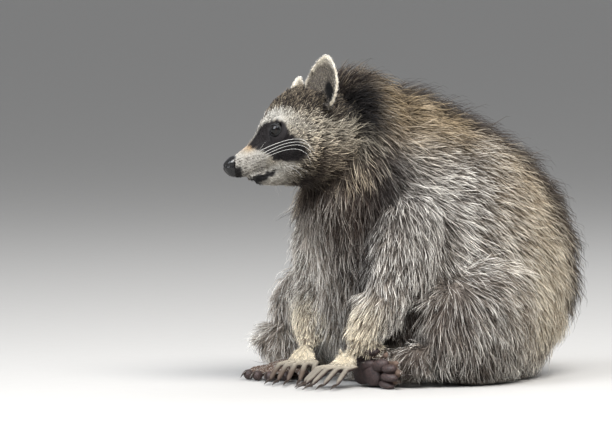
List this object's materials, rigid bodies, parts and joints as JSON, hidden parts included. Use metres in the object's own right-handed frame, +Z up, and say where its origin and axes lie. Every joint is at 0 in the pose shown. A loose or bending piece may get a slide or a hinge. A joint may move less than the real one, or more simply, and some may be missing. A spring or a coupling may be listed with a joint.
{
  "type": "raccoon",
  "caption": "Still, life-size raccoon that sits on its rump with both hands on the ground between its hind feet, head turned to its right, ringed tail laid along its right side.",
  "frame": {"origin": "on the flat that the animal sits on, in its middle plane, straight below the place where the neck meets the back", "axes": "+Z up; the chest faces -Y, so +Y is towards the back; +X is the animal's left"},
  "size_m": [0.3219, 0.3767, 0.3062],
  "materials": {
    "coat": "long grizzled fur: brown-grey underfur, dark bands and cream tips",
    "pale_coat": "short cream fur of the muzzle, ears, forearms and hands",
    "dark_coat": "short black-brown fur of the mask, ear backs, feet and tail rings",
    "naked_skin": "bare dark brown skin of the soles, palms and lips, finely wrinkled",
    "nose_skin": "moist black nose skin with fine pebbling",
    "eye": "wet, polished, dark brown iris and black pupil",
    "claw": "smooth dark horn, paler along the ridge",
    "whisker": "smooth white bristle"
  },
  "bodies": {
    "root": {"claw_foot_left_1": "claw", "claw_foot_left_2": "claw", "claw_foot_left_3": "claw", "claw_foot_left_4": "claw", "claw_foot_left_5": "claw", "claw_foot_right_1": "claw", "claw_foot_right_2": "claw", "claw_foot_right_3": "claw", "claw_foot_right_4": "claw", "claw_foot_right_5": "claw", "claw_hand_left_1": "claw", "claw_hand_left_2": "claw", "claw_hand_left_3": "claw", "claw_hand_left_4": "claw", "claw_hand_left_5": "claw", "claw_hand_right_1": "claw", "claw_hand_right_2": "claw", "claw_hand_right_3": "claw", "claw_hand_right_4": "claw", "claw_hand_right_5": "claw", "eye_left": "eye", "eye_right": "eye", "nose": "nose_skin", "hand_left": "pale_coat", "hand_right": "pale_coat", "foot_left": "naked_skin", "foot_right": "dark_coat", "head": "coat", "muzzle": "pale_coat", "lower_jaw": "pale_coat", "ear_left": "pale_coat", "ear_right": "pale_coat", "forearm_left": "pale_coat", "forearm_right": "pale_coat", "upper_arm_left": "coat", "upper_arm_right": "coat", "shank_left": "coat", "shank_right": "coat", "thigh_left": "coat", "thigh_right": "coat", "neck": "coat", "trunk": "coat", "tail_1": "coat", "tail_2": "coat", "tail_3": "coat", "tail_4": "coat"}
  },
  "joints": []
}
